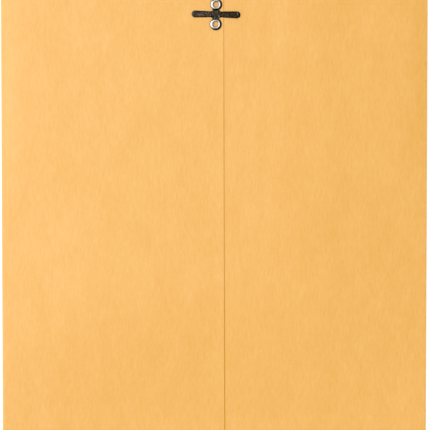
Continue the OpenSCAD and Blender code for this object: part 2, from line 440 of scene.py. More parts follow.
def kraft_paper():
    material, work, surface = new_material("kraft_paper")
    place = work.add("ShaderNodeTexCoord").outputs["Object"]
    up = work.split(work.add("ShaderNodeTexCoord").outputs["Normal"])[2]
    x, y, z = work.split(place)
    facing = work.remap(up, 0.2, 0.5, 0.0, 1.0)
    on_back = work.remap(z, GLUED_TOP * 0.6 * MM, GLUED_TOP * 0.8 * MM, 0.0, 1.0)
    grain, fibres, specks = kraft_grain(work, place)
    gum = work.product(gum_coat(work, x, specks), facing)
    crease = work.remap(work.apart(y, FOLD_Y * MM), 0.1 * MM, 0.7 * MM, 1.0, 0.0)
    # Painted shadow along the seam, on the back's upward faces
    glue_shadow = work.product(glue_shadow_line(work, x, y), facing, on_back)
    shade = work.product(under_flap_shade(work, x, y), facing, on_back)

    tone = work.mix(work.math("MULTIPLY_ADD", grain, 1.7, 0.5), KRAFT_DARK, KRAFT_LIGHT)
    tone = work.mix(work.math("MULTIPLY", gum, 0.4), tone, DRY_GUM)
    tone = work.mix(work.math("MULTIPLY", crease, 0.35), tone, FLAP_CREASE)
    # Painted shadow along the seam
    tone = work.mix(glue_shadow, tone, SEAM_GLUE_SHADOW)
    tone = work.mix(shade, tone, FLAP_SHADE)
    work.feed(surface["Base Color"], tone)

    rough = work.math("MULTIPLY_ADD", work.math("SUBTRACT", 0.5, fibres), 0.10, 0.46)
    rough = work.math("MULTIPLY_ADD", gum, -0.24, rough)
    work.feed(surface["Roughness"], work.math("MULTIPLY_ADD", glue_shadow, -0.34, rough))
    surface["IOR"].default_value = 1.65
    surface["Specular IOR Level"].default_value = 1.0
    height = work.math("ADD", fibres, work.math("MULTIPLY", specks, 0.8))
    height = work.math("MULTIPLY_ADD", crease, -1.5, height)
    bump = work.add("ShaderNodeBump", {"Strength": 0.35, "Distance": 0.03 * MM, "Height": height})
    work.feed(surface["Normal"], bump.outputs[0])
    return material


def patch_paper():
    material, work, surface = new_material("patch_paper")
    place = work.add("ShaderNodeTexCoord").outputs["Object"]
    grain, _, specks = kraft_grain(work, place)
    tone = work.mix(work.math("MULTIPLY_ADD", grain, 1.1, 0.5), PATCH_DARK, PATCH_LIGHT)
    work.feed(surface["Base Color"], tone)
    surface["Roughness"].default_value = 0.58
    surface["Specular IOR Level"].default_value = 0.6
    bump = work.add("ShaderNodeBump", {"Strength": 0.45, "Distance": 0.04 * MM, "Height": specks})
    work.feed(surface["Normal"], bump.outputs[0])
    return material


def steel_wear(work, place, from_middle):
    """Fine scratches across, and short wavy scuffs, both through the painted dark tone."""
    scratches = stretched_noise(work, place, (2300, 300, 420), 3, 0.62, math.radians(-38))
    scuffs = stretched_noise(work, place, (640, 1150, 900), 2, 0.62, 0.3)
    breaks = stretched_noise(work, place, (1900, 1500, 1700), 2, 0.6, 0.9)
    lines = work.remap(scratches, 0.54, 0.64, 0.0, 0.8)
    lines = work.product(lines, work.remap(from_middle, 2.0 * MM, 3.2 * MM, 0.58, 0.46))
    wavy = work.remap(work.apart(scuffs, 0.5), 0.004, 0.026, 0.80, 0.0)
    wavy = work.product(wavy, work.remap(breaks, 0.44, 0.56, 0.12, 1.0))
    # The scuffs are stronger on the left prong and fade towards the right
    to_right = work.remap(work.split(place)[0], -9 * MM, 5 * MM, 1.0, 0.35)
    return work.math("MAXIMUM", lines, work.product(wavy, to_right))


def steel_painted_shade(work, place, from_middle, rubbed):
    """Painted shade at the rims' feet, on their steep outsides and between them, not in their
    holes.
    """
    _, forth, up = work.split(place)
    tilt = work.split(work.add("ShaderNodeTexCoord").outputs["Normal"])[2]
    # Painted shade low down by the paper, on steep faces and on the rims by the neck
    foot = work.remap(up, (CREST_TOP + 0.28) * MM, (CREST_TOP + 0.395) * MM, 0.92, 0.0)
    steep = work.remap(tilt, 0.60, 0.90, 0.95, 0.0)
    from_neck = work.apart(forth, CLASP_Y * MM)
    between = work.product(rubbed, work.remap(from_neck, 2.65 * MM, 3.05 * MM, 0.9, 0.0))
    shaded = work.math("MAXIMUM", work.math("MAXIMUM", foot, steep), between)
    from_eyelet = work.math("SUBTRACT", from_neck, EYELET_PITCH / 2 * MM)
    squares = work.product(from_middle, from_middle)
    squares = work.math("MULTIPLY_ADD", from_eyelet, from_eyelet, squares)
    outside = work.remap(work.math("SQRT", squares), 1.6 * MM, 2.0 * MM, 0.0, 1.0)
    return work.product(shaded, outside)


def tinned_steel():
    """Flat steel painted near black for the dark room it reflects, with scuffs, its raised rims
    rubbed bright and painted shade at their feet.
    """
    material, work, surface = new_material("tinned_steel")
    place = work.add("ShaderNodeTexCoord").outputs["Object"]
    along, _, up = work.split(place)
    from_middle = work.apart(along, CLASP_OFFSET * MM)
    dim_mottle = stretched_noise(work, place, (560, 560, 560), 4, 0.6)
    ripples = stretched_noise(work, place, (760, 760, 760), 2, 0.5, 0.4)
    worn = steel_wear(work, place, from_middle)
    plate_top = CREST_TOP + PLATE_LIFT + METAL_T
    rubbed = work.remap(up, (plate_top + 0.04) * MM, (plate_top + 0.16) * MM, 0.0, 1.0)

    # Painted darkness: the flats' near black tone stands in for the dark room they reflect
    tone = work.mix(work.remap(dim_mottle, 0.3, 0.7, 0.0, 1.0), PAINTED_DIM_DARK, PAINTED_DIM_LIGHT)
    tone = work.mix(worn, tone, SCUFFED_STEEL)
    tone = work.mix(rubbed, tone, RUBBED_STEEL)
    # Painted shade at the rims' feet, on steep faces and between the rims
    tone = work.mix(steel_painted_shade(work, place, from_middle, rubbed), tone, PAINTED_SHADE)
    work.feed(surface["Base Color"], tone)
    surface["Metallic"].default_value = 1.0

    rough = work.remap(dim_mottle, 0.3, 0.7, 0.14, 0.21, "LINEAR")
    rough = work.math("MULTIPLY_ADD", worn, 0.2, rough)
    smooth = work.product(rough, work.math("MULTIPLY_ADD", rubbed, -0.45, 1.0))
    work.feed(surface["Roughness"], smooth)
    height = work.math("MULTIPLY_ADD", worn, -0.12, ripples)
    bump = work.add("ShaderNodeBump", {"Strength": 0.4, "Distance": 0.09 * MM, "Height": height})
    work.feed(surface["Normal"], bump.outputs[0])
    return material


KRAFT = kraft_paper()
PATCH = patch_paper()
STEEL = tinned_steel()


# The sheet of kraft paper: its middle surface, as folded flat, then blown up by a tree

class PaperGrid:
    """Rows of points on the paper's middle surface, with what each point carries."""

    def __init__(self):
        self.points = []
        self.faces = []
        self.carried = {"swell": [], "wave": [], "from_edge": []}

    def row(self, points, swell=0.0, wave=0.0, from_edge=FAR_INSIDE):
        first = len(self.points)
        self.points.extend(points)
        given = {"swell": swell, "wave": wave, "from_edge": from_edge}
        for name, value in given.items():
            self.carried[name].extend(np.broadcast_to(value, len(points)).tolist())
        return list(range(first, len(self.points)))

    def join(self, low, high, skip=()):
        """Fills between two rows, apart from the columns to skip."""
        for k in range(len(low) - 1):
            if k not in skip:
                self.faces.append((low[k], low[k + 1], high[k + 1], high[k]))

    def piece(self, name):
        made = new_piece(name, self.points, self.faces)
        for key, values in self.carried.items():
            made.data.attributes.new(key, "FLOAT", "POINT").data.foreach_set("value", values)
        return made


def fold_round(centre, radius, start, end, steps):
    """Points of an arc in the plane across a fold, as (outwards, up), ends left out."""
    angles = [start + (end - start) * k / steps for k in range(1, steps)]
    return [(centre[0] + radius * math.cos(a), centre[1] + radius * math.sin(a)) for a in angles]


def back_wave(x, y):
    """How freely the back can wave at a place: not at its folds, its glued bottom or the clasp."""
    from_side = smooth_step(SIDE_X - abs(x), *CALM_AT_SIDE)
    from_glue = smooth_step(y, *(RISE_Y + reach for reach in CALM_AT_GLUE))
    from_clasp = smooth_step(math.hypot(x - CLASP_OFFSET, y - CLASP_Y), *CALM_AT_CLASP)
    return float(from_side * from_glue * from_clasp)


def flap_path():
    """The flap's middle line from the side: (distance from the fold, y, z), bent at the fold."""
    steps = np.linspace(FLAP_PATH_START, FLAP_H, FLAP_PATH_COUNT)
    lean = FLAP_LIFT * smooth_step(steps, -FOLD_BEND_RUN, FOLD_BEND_RUN)
    gap = np.diff(steps, prepend=steps[0])
    y = FOLD_Y + steps[0] + np.cumsum(np.cos(lean) * gap)
    z = PAPER_T / 2 + np.cumsum(np.sin(lean) * gap)
    return steps, y, z


FLAP_STEPS, FLAP_YS, FLAP_ZS = flap_path()


def flap_place(x, v, lift=0.0):
    """A place on the flap at distance v from the fold, lifted off its middle surface."""
    y = float(np.interp(v, FLAP_STEPS, FLAP_YS))
    z = float(np.interp(v, FLAP_STEPS, FLAP_ZS))
    return (x, y - lift * math.sin(FLAP_LIFT), z + lift * math.cos(FLAP_LIFT))


def flap_half(v):
    """Half the flap's width at distance v from its fold."""
    side = math.hypot(FLAP_H, FLAP_TAPER)
    inset = (FLAP_CORNER_R + (FLAP_H - FLAP_CORNER_R) * FLAP_TAPER / side) * side / FLAP_H
    centre_x = FLAP_X - inset
    centre_v = FLAP_H - FLAP_CORNER_R
    straight = FLAP_X - v * FLAP_TAPER / FLAP_H
    start = centre_v + FLAP_CORNER_R * math.sin(math.atan(FLAP_TAPER / FLAP_H))
    if v <= start:
        return straight
    return centre_x + math.sqrt(max(0.0, FLAP_CORNER_R ** 2 - (v - centre_v) ** 2))


def flap_wave(x, v):
    """How freely the flap waves at a place, where 1 is the back's own wave."""
    share = float(smooth_step(v, *CALM_AT_FOLD) * (0.6 + 0.4 * abs(x) / FLAP_X))
    return share * FLAP_WAVE / BACK_WAVE


def front_columns():
    """Places across the front, from right to left, with small even steps at the flap's hole."""
    scale = FLAP_X / flap_half(CLASP_FROM_FOLD)
    middle = CLASP_OFFSET * scale
    reach = HOLE_CELLS / 2 * HOLE_STEP * scale
    right = spread(FLAP_X, middle + reach, FRONT_STEP)
    left = spread(middle - reach, -FLAP_X, FRONT_STEP)
    fine = spread(middle + reach, middle - reach, HOLE_STEP * scale)
    return right + fine[1:-1] + left, len(right) - 1


def left_panel_place(x, y):
    """A place on the left panel, which lies over the right one at the seam."""
    lift = (PAPER_T + GLUE_GAP) * float(smooth_step(x, LAP_X - LAP_RUN, LAP_X))
    lip = SEAM_LIP_LIFT * float(smooth_step(x, SEAM_X - SEAM_LIP_W, SEAM_X))
    flap_top = BOTTOM_Y + BOTTOM_FLAP_H
    lip *= float(smooth_step(y, flap_top, flap_top + SEAM_LIP_RUN))
    slanted = x - SEAM_SLANT * y * float(smooth_step(x, LAP_X, SEAM_X))
    return (slanted, y, PANEL_Z + lift + lip)


def left_panel_columns():
    """Places across the left panel, from its side fold to the seam's edge."""
    strip_end = -SIDE_X + SIDE_STRIP
    xs = spread(-SIDE_X, strip_end, SIDE_STEP)
    xs += spread(strip_end, LAP_X, LEFT_PANEL_STEP)[1:]
    xs += spread(LAP_X, SEAM_X - SEAM_STRIP, LAP_STEP)[1:]
    return xs + [SEAM_X - inside for inside in SEAM_COLUMNS]


def pocket_rows(grid):
    """The tube of right panel, front and left panel, from the bottom to the throat."""
    across, _ = front_columns()
    middle_r = SIDE_FOLD_R - PAPER_T / 2
    fold = fold_round((SIDE_X, SIDE_FOLD_R), middle_r, math.pi / 2, -math.pi / 2, FOLD_STEPS)
    right_xs = spread(LAP_X, SIDE_X - SIDE_STRIP, RIGHT_PANEL_STEP)
    right_xs += spread(SIDE_X - SIDE_STRIP, SIDE_X, SIDE_STEP)[1:]
    left_xs = left_panel_columns()
    rows = []
    for y in spread(BOTTOM_Y, THROAT_Y, ROW_STEP):
        right = [(x, y, PANEL_Z) for x in right_xs]
        folded = [(out, y, up) for out, up in fold]
        folded += [(x, y, PAPER_T / 2) for x in [SIDE_X] + across + [-SIDE_X]]
        folded += [(-out, y, up) for out, up in reversed(fold)]
        left = [left_panel_place(x, y) for x in left_xs]
        swell = [1.0] * len(right) + [0.0] * len(folded) + [1.0] * len(left)
        wave = [back_wave(x, y) for x in right_xs] + [0.0] * len(folded)
        wave += [back_wave(x, y) for x in left_xs]
        rows.append(grid.row(right + folded + left, swell, wave))
    for low, high in zip(rows, rows[1:]):
        grid.join(low, high)
    start = len(right_xs) + len(fold) + 1
    front = slice(start, start + len(across))
    return rows[0][front], rows[-1][front]


def flap_steps():
    """Places along the flap from the throat to its end, and those that meet its hole."""
    reach = HOLE_CELLS / 2 * HOLE_STEP
    strip = spread(THROAT_Y - FOLD_Y, -CREASE_RUN, THROAT_STEP)[1:]
    crease = spread(-CREASE_RUN, CREASE_RUN, CREASE_STEP)[1:]
    lower = spread(CREASE_RUN, CLASP_FROM_FOLD - reach, FLAP_STEP)[1:]
    hole = spread(lower[-1], CLASP_FROM_FOLD + reach, HOLE_STEP)[1:]
    lean = math.atan(FLAP_TAPER / FLAP_H)
    arc = [lean + (math.pi / 2 - lean) * k / CORNER_STEPS for k in range(CORNER_STEPS + 1)]
    corner = [FLAP_H - FLAP_CORNER_R + FLAP_CORNER_R * math.sin(a) for a in arc]
    corner = [v for v in corner if v > hole[-1] + LEAST_ROW_GAP]
    return strip + crease + lower + hole + corner, [lower[-1]] + hole


def flap_edge(x, v, half):
    """Distance in metres from the flap's edge, as the gum follows it."""
    if v <= 0:
        return FAR_INSIDE
    return MM * min(FLAP_H - v, GUM_SIDE_RATE * (half - abs(x)) + GUM_SIDE_LEAD)


def closing_flap_rows(grid, front_top):
    """The strip above the throat and the flap, with the punched hole."""
    across, fine_start = front_columns()
    steps, hole_steps = flap_steps()
    rows = [front_top]
    hole_rows = []
    for v in steps:
        half = flap_half(v) if v > 0 else FLAP_X
        xs = [s * half / FLAP_X for s in across]
        if v < FLAP_STEPS[0]:
            points = [(x, FOLD_Y + v, PAPER_T / 2) for x in xs]
        else:
            points = [flap_place(x, v) for x in xs]
        edge = [flap_edge(x, v, half) for x in xs]
        rows.append(grid.row(points, 0.0, [flap_wave(x, v) for x in xs], edge))
        if v in hole_steps:
            hole_rows.append(rows[-1])
    open_columns = range(fine_start, fine_start + HOLE_CELLS)
    for low, high in zip(rows, rows[1:]):
        in_hole = low in hole_rows and high in hole_rows
        grid.join(low, high, open_columns if in_hole else ())
    punch_hole(grid, hole_rows, fine_start)


def punch_hole(grid, hole_rows, fine_start):
    """Fills the open square with rings that end on the round hole."""
    first, last = fine_start, fine_start + HOLE_CELLS
    border = [hole_rows[0][k] for k in range(first, last)]
    border += [row[last] for row in hole_rows[:-1]]
    border += [hole_rows[-1][k] for k in range(last, first, -1)]
    border += [row[first] for row in reversed(hole_rows[1:])]
    centre = flap_place(CLASP_OFFSET, CLASP_FROM_FOLD)
    outer = border
    for radius in (FLAP_HOLE_D / 2 + HOLE_RING_W, FLAP_HOLE_D / 2):
        points = []
        for k in border:
            x, y, _ = grid.points[k]
            angle = math.atan2((y - centre[1]) / math.cos(FLAP_LIFT), x - centre[0])
            v = CLASP_FROM_FOLD + radius * math.sin(angle)
            points.append(flap_place(CLASP_OFFSET + radius * math.cos(angle), v))
        ring = grid.row(points, 0.0, flap_wave(CLASP_OFFSET, CLASP_FROM_FOLD), AT_HOLE)
        for k in range(len(border)):
            after = (k + 1) % len(border)
            grid.faces.append((outer[k], outer[after], ring[after], ring[k]))
        outer = ring


def bottom_flap_rows(grid, front_bottom):
    """The front turned up round the bottom fold and glued over the back."""
    across, _ = front_columns()
    on_back = GLUED_TOP + PAPER_T / 2 + GLUE_GAP
    rows = []
    for v in spread(BOTTOM_FLAP_H, 0, BOTTOM_FLAP_STEP):
        half = FLAP_X - BOTTOM_FLAP_SLANT * v / BOTTOM_FLAP_H
        points = []
        for s in across:
            x = s * half / FLAP_X
            up = smooth_step(x, *(LAP_X - reach for reach in STEP_UP_TO_LAP))
            down = smooth_step(x, *(SEAM_X + reach for reach in STEP_DOWN_PAST_SEAM))
            lift = (PAPER_T + GLUE_GAP) * float(up * down)
            in_from_edge = min(BOTTOM_FLAP_H - v, half - abs(x))
            near_edge = smooth_step(in_from_edge, EDGE_CURL_W, 0)
            curl = EDGE_CURL * float(near_edge * smooth_step(v, 0, EDGE_CURL_RUN))
            points.append((x, BOTTOM_Y + v, on_back + lift + curl))
        rows.append(grid.row(points))
    low = PAPER_T / 2
    centre = (on_back + low) / 2
    radius = (on_back - low) / 2
    turn = fold_round((0, centre), radius, math.pi / 2, 3 * math.pi / 2, FOLD_STEPS)
    for out, up in turn:
        rows.append(grid.row([(s, BOTTOM_Y + out, up) for s in across]))
    rows.append(front_bottom)
    for a, b in zip(rows, rows[1:]):
        grid.join(a, b)


def rise_across(work, given, x, from_side):
    """Share of the rise across the back: flat at its crest, then bent, then straight down."""
    right = work.math("GREATER_THAN", x, 0.0)
    crest = work.remap(right, 0.0, 1.0, given["Left Crest"], given["Right Crest"], "LINEAR")
    bend = work.remap(right, 0.0, 1.0, given["Left Bend"], given["Right Bend"], "LINEAR")
    flank = work.math("SUBTRACT", given["Half Width"], crest)
    beside = work.math("MAXIMUM", work.math("SUBTRACT", flank, from_side), 0.0)
    bent = work.math("MINIMUM", beside, bend)
    curved = work.math("DIVIDE", work.math("MULTIPLY", bent, bent), bend)
    straight = work.math("SUBTRACT", beside, bent)
    drop = work.math("MULTIPLY_ADD", curved, 0.5, straight)
    full = work.math("MULTIPLY_ADD", bend, -0.5, flank)
    across = work.math("SUBTRACT", 1.0, work.math("DIVIDE", drop, full))
    return work.math("MAXIMUM", across, 0.0)


def rise_along(work, given, y):
    """Share of the rise from the bottom flap up to the throat."""
    run = work.math("SUBTRACT", y, given["Rise Start"])
    run = work.within(work.math("DIVIDE", run, given["Rise Length"]))
    turn = work.math("COSINE", work.math("MULTIPLY", run, math.pi))
    return work.math("MULTIPLY_ADD", turn, -0.5, 0.5)


def side_bulge(work, given, y, from_side):
    """Share of the soft roundness beside the side folds, above the glued bottom."""
    share = work.math("DIVIDE", from_side, given["Side Round Width"])
    rest = work.math("SUBTRACT", 1.0, work.within(share))
    bulge = work.math("SUBTRACT", 1.0, work.math("MULTIPLY", rest, rest))
    fading = work.remap(share, 1.0, SIDE_ROUND_FADE, 1.0, 0.0)
    end = work.math("ADD", given["Side Round Start"], given["Side Round Run"])
    upwards = work.remap(y, given["Side Round Start"], end, 0.0, 1.0)
    return work.product(bulge, fading, upwards)


def paper_wave(work, given, x, y):
    """Slight waves, longer along the paper than across it."""
    flat = work.join(x, work.math("MULTIPLY", y, WAVE_SQUEEZE), 0.0)
    scale = work.math("DIVIDE", 1.0, given["Wave Length"])
    values = {"Vector": flat, "Scale": scale, "Detail": 1.0, "W": given["Wave Seed"]}
    noise = work.add("ShaderNodeTexNoise", values, noise_dimensions="4D")
    wave = work.math("MULTIPLY_ADD", noise.outputs["Fac"], 4.0, -2.0)
    free = work.add("GeometryNodeInputNamedAttribute", {"Name": "wave"}, data_type="FLOAT")
    return work.product(wave, given["Wave Height"], free.outputs["Attribute"])


def swell_tree():
    """Blows the flat folded sheet up to its pocket, and lets it wave a little."""
    tree, work, given = geometry_tree("pocket swell", [
        ("Rise", "Float"), ("Left Crest", "Float"), ("Right Crest", "Float"),
        ("Left Bend", "Float"), ("Right Bend", "Float"), ("Half Width", "Float"),
        ("Rise Start", "Float"), ("Rise Length", "Float"),
        ("Side Round", "Float"), ("Side Round Width", "Float"),
        ("Side Round Start", "Float"), ("Side Round Run", "Float"),
        ("Wave Height", "Float"), ("Wave Length", "Float"), ("Wave Seed", "Float"),
        ("Paper", "Material"),
    ])
    x, y, _ = work.split(work.add("GeometryNodeInputPosition").outputs[0])
    from_side = work.math("SUBTRACT", given["Half Width"], work.math("ABSOLUTE", x))
    across = rise_across(work, given, x, from_side)
    lift = work.product(across, rise_along(work, given, y), given["Rise"])
    bulge = side_bulge(work, given, y, from_side)
    lift = work.math("MULTIPLY_ADD", bulge, given["Side Round"], lift)
    swell = work.add("GeometryNodeInputNamedAttribute", {"Name": "swell"}, data_type="FLOAT")
    lift = work.math("MULTIPLY", lift, swell.outputs["Attribute"])
    offset = work.join(0.0, 0.0, work.math("ADD", lift, paper_wave(work, given, x, y)))
    moved = work.add("GeometryNodeSetPosition", {"Geometry": given["Geometry"], "Offset": offset})
    close_tree(work, moved.outputs[0], given["Paper"])
    return tree


SWELL = swell_tree()


def swell(piece, paper):
    use_tree(piece, SWELL, {
        "Rise": POCKET_RISE * MM, "Left Crest": LEFT_CREST * MM, "Right Crest": RIGHT_CREST * MM,
        "Left Bend": LEFT_BEND * MM, "Right Bend": RIGHT_BEND * MM, "Half Width": SIDE_X * MM,
        "Rise Start": RISE_Y * MM, "Rise Length": RISE_LEN * MM, "Side Round": SIDE_ROUND * MM,
        "Side Round Width": SIDE_ROUND_W * MM, "Side Round Start": SIDE_ROUND_Y * MM,
        "Side Round Run": SIDE_ROUND_RUN * MM, "Wave Height": BACK_WAVE * MM,
        "Wave Length": WAVE_LEN * MM, "Wave Seed": WAVE_SEED, "Paper": paper,
    })


def kraft_envelope():
    grid = PaperGrid()
    front_bottom, front_top = pocket_rows(grid)
    closing_flap_rows(grid, front_top)
    bottom_flap_rows(grid, front_bottom)
    piece = grid.piece("kraft_envelope")
    swell(piece, KRAFT)
    thicken(piece, PAPER_T)
    settle(piece)
    return piece


def hole_patch():
    """The glued patch, as rings from its straight border to the hole."""
    grid = PaperGrid()
    half_w, half_h = PATCH_W / 2, PATCH_H / 2
    run = [-1 + 2 * k / PATCH_CELLS for k in range(PATCH_CELLS)]
    border = [(half_w * k, -half_h) for k in run] + [(half_w, half_h * k) for k in run]
    border += [(-x, -y) for x, y in border]
    lift = PAPER_T / 2 + PATCH_T / 2 + GLUE_GAP / 2
    rings = []
    for share in PATCH_RINGS:
        points = []
        wave = []
        for bx, by in border:
            angle = math.atan2(by, bx)
            x = CLASP_OFFSET + bx + (FLAP_HOLE_D / 2 * math.cos(angle) - bx) * share
            v = CLASP_FROM_FOLD + by + (FLAP_HOLE_D / 2 * math.sin(angle) - by) * share
            points.append(flap_place(x, v, lift))
            wave.append(flap_wave(x, v))
        ring = grid.row(points, 0.0, wave)
        rings.append(ring + ring[:1])
    for outer, inner in zip(rings, rings[1:]):
        grid.join(outer, inner)
    piece = grid.piece("hole_patch_paper")
    swell(piece, PATCH)
    thicken(piece, PATCH_T)
    settle(piece)
    return piece


# The clasp

def at_clasp():
    place = Vector((CLASP_OFFSET, CLASP_Y, CREST_TOP)) * MM
    return Matrix.Translation(place) @ Matrix.Rotation(CLASP_TURN, 4, "Z")


RIM_FOOT = 0.02

# Height of a rolled rim from its hole to its outer edge, as shares of its width and height
RIM_FLANK = [
    (0, 0), (0.02, 0.48), (0.07, 0.78), (0.14, 0.93), (0.22, 0.985), (0.35, 1),
    (0.5, 0.98), (0.63, 0.91), (0.78, 0.76), (0.9, 0.55), (0.975, 0.29), (1, 0),
]


def set_curve(node, places):
    """Gives a float curve its points."""
    curve = node.mapping.curves[0]
    curve.points[0].location = places[0]
    curve.points[1].location = places[-1]
    for place in places[1:-1]:
        curve.points.new(*place)
    node.mapping.update()


def rolled_rim(work, given, half_width):
    """A ring with a half-round section, whose top is then drawn to the rim's own curve."""
    values = {"Resolution": RIM_STEPS, "Radius": given["Rim Radius"]}
    path = work.add("GeometryNodeCurvePrimitiveCircle", values)
    values = {"Resolution": RIM_SECTION_STEPS, "Radius": half_width}
    bead = work.add("GeometryNodeCurvePrimitiveCircle", values)
    sunk = work.math("SUBTRACT", given["Rim Height"], half_width)
    bx, by, _ = work.split(work.add("GeometryNodeInputPosition").outputs[0])
    raised = work.math("MAXIMUM", work.math("ADD", by, sunk), 0.0)
    raised = work.join(bx, work.math("MULTIPLY", raised, -1.0), 0.0)
    values = {"Geometry": bead.outputs[0], "Position": raised}
    domed = work.add("GeometryNodeSetPosition", values)
    values = {"Curve": path.outputs[0], "Profile Curve": domed.outputs[0]}
    ring = work.add("GeometryNodeCurveToMesh", values)

    rx, ry, rz = work.split(work.add("GeometryNodeInputPosition").outputs[0])
    out = work.math("SQRT", work.math("MULTIPLY_ADD", rx, rx, work.math("MULTIPLY", ry, ry)))
    inner = work.math("SUBTRACT", given["Rim Radius"], half_width)
    share = work.math("DIVIDE", work.math("SUBTRACT", out, inner), given["Rim Width"])
    flank = work.add("ShaderNodeFloatCurve", {"Value": share})
    set_curve(flank, RIM_FLANK)
    height = work.math("MULTIPLY", flank.outputs[0], given["Rim Height"])
    on_top = work.math("GREATER_THAN", rz, RIM_FOOT * MM)
    rolled = work.join(rx, ry, work.math("MULTIPLY", height, on_top))
    values = {"Geometry": ring.outputs[0], "Position": rolled}
    return work.add("GeometryNodeSetPosition", values).outputs[0]


def claw_bar(work, given, middle_r, width, height, up):
    """A bent bar of the claw's angle, centred on the X axis."""
    angle = given["Claw Angle"]
    start = work.math("MULTIPLY", angle, -0.5)
    values = {"Resolution": CLAW_STEPS, "Radius": middle_r}
    values |= {"Start Angle": start, "Sweep Angle": angle}
    arc = work.add("GeometryNodeCurveArc", values)
    values = {"Width": width, "Height": height}
    section = work.add("GeometryNodeCurvePrimitiveQuadrilateral", values)
    values = {"Curve": arc.outputs[0], "Profile Curve": section.outputs[0], "Fill Caps": True}
    bar = work.add("GeometryNodeCurveToMesh", values)
    values = {"Geometry": bar.outputs[0], "Translation": work.join(0.0, 0.0, up)}
    return work.add("GeometryNodeTransform", values).outputs[0]


def spread_claw(work, given, half_width):
    """One claw: its wall through the paper, and its foot spread out inside the pocket."""
    length = given["Claw Length"]
    root = work.math("MULTIPLY", half_width, CLAW_ROOT)
    middle_r = work.math("MULTIPLY_ADD", given["Claw Thickness"], 0.5, given["Claw Radius"])
    wall_up = work.math("MULTIPLY_ADD", length, -0.5, root)
    wall = claw_bar(work, given, middle_r, given["Claw Thickness"], length, wall_up)
    width, thickness = given["Spread Width"], given["Spread Thickness"]
    middle_r = work.math("MULTIPLY_ADD", width, 0.5, given["Claw Radius"])
    foot_up = work.math("MULTIPLY_ADD", thickness, 0.5, work.math("SUBTRACT", root, length))
    foot = claw_bar(work, given, middle_r, width, thickness, foot_up)
    return work.together(wall, foot)


def eyelet_tree():
    """A rolled rim, and claws through the paper, at each of two places along Y."""
    tree, work, given = geometry_tree("two eyelets", [
        ("Pitch", "Float"), ("Rim Radius", "Float"), ("Rim Width", "Float"),
        ("Rim Height", "Float"), ("Claws", "Int"), ("Claw Angle", "Float"),
        ("Claw Radius", "Float"), ("Claw Thickness", "Float"), ("Claw Length", "Float"),
        ("Spread Width", "Float"), ("Spread Thickness", "Float"), ("Metal", "Material"),
    ])
    half_width = work.math("MULTIPLY", given["Rim Width"], 0.5)
    rim = rolled_rim(work, given, half_width)
    claw = spread_claw(work, given, half_width)
    middles = work.add("GeometryNodeMeshLine", {"Count": given["Claws"], "Offset": (0, 0, 0)})
    step = work.math("DIVIDE", 2 * math.pi, given["Claws"])
    index = work.add("GeometryNodeInputIndex").outputs[0]
    turn = work.math("MULTIPLY", work.math("ADD", index, 0.5), step)
    turn = work.join(0.0, 0.0, turn)
    values = {"Points": middles.outputs[0], "Instance": claw, "Rotation": turn}
    claws = work.add("GeometryNodeInstanceOnPoints", values)
    eyelet = work.together(rim, claws.outputs[0])
    first = work.join(0.0, work.math("MULTIPLY", given["Pitch"], -0.5), 0.0)
    values = {"Count": 2, "Start Location": first, "Offset": work.join(0.0, given["Pitch"], 0.0)}
    line = work.add("GeometryNodeMeshLine", values)
    values = {"Points": line.outputs[0], "Instance": eyelet}
    both = work.add("GeometryNodeInstanceOnPoints", values)
    close_tree(work, both.outputs[0], given["Metal"])
    return tree


def clasp_eyelets():
    piece = new_piece("clasp_eyelets", [], [])
    claw_r = EYELET_HOLE_D / 2 + CLAW_INSET
    root = RIM_W / 2 * CLAW_ROOT
    use_tree(piece, eyelet_tree(), {
        "Pitch": EYELET_PITCH * MM, "Rim Radius": RIM_MID_R * MM, "Rim Width": RIM_W * MM,
        "Rim Height": RIM_H * MM, "Claws": CLAW_COUNT, "Claw Angle": CLAW_ANGLE,
        "Claw Radius": claw_r * MM, "Claw Thickness": CLAW_T * MM,
        "Claw Length": (root + 2 * PAPER_T + GLUE_GAP + CLINCH_T) * MM,
        "Spread Width": (CLINCH_D / 2 - claw_r) * MM, "Spread Thickness": CLINCH_T * MM,
        "Metal": STEEL,
    })
    settle(piece)
    piece.data.transform(at_clasp())
    return piece


def pressed_metal(name, levels, rounding):
    """A stamping with worn edges, from outlines in millimetres at heights from its foot up."""
    count = len(levels[0][0])
    points = [(x, y, height) for outline, height in levels for x, y in outline]
    top = count * (len(levels) - 1)
    faces = [tuple(range(count - 1, -1, -1)), tuple(range(top, top + count))]
    for start in range(0, top, count):
        for k in range(count):
            after = (k + 1) % count
            faces.append((start + k, start + after, start + count + after, start + count + k))
    piece = new_piece(name, points, faces)
    bevel = piece.modifiers.new("worn edges", "BEVEL")
    bevel.width = rounding * MM
    bevel.segments = 3
    bevel.limit_method = "ANGLE"
    bevel.angle_limit = math.radians(50)
    bevel.harden_normals = False
    return piece


def finish_stamping(piece):
    paint(piece, STEEL)
    settle(piece, 35, flat_tops=True)
    piece.data.transform(at_clasp())
    return piece


def corner_round(centre, radius, start, end, steps=FILLET_STEPS):
    """Points of an arc, with both of its ends."""
    angles = [start + (end - start) * k / steps for k in range(steps + 1)]
    return [(centre[0] + radius * math.cos(a), centre[1] + radius * math.sin(a)) for a in angles]


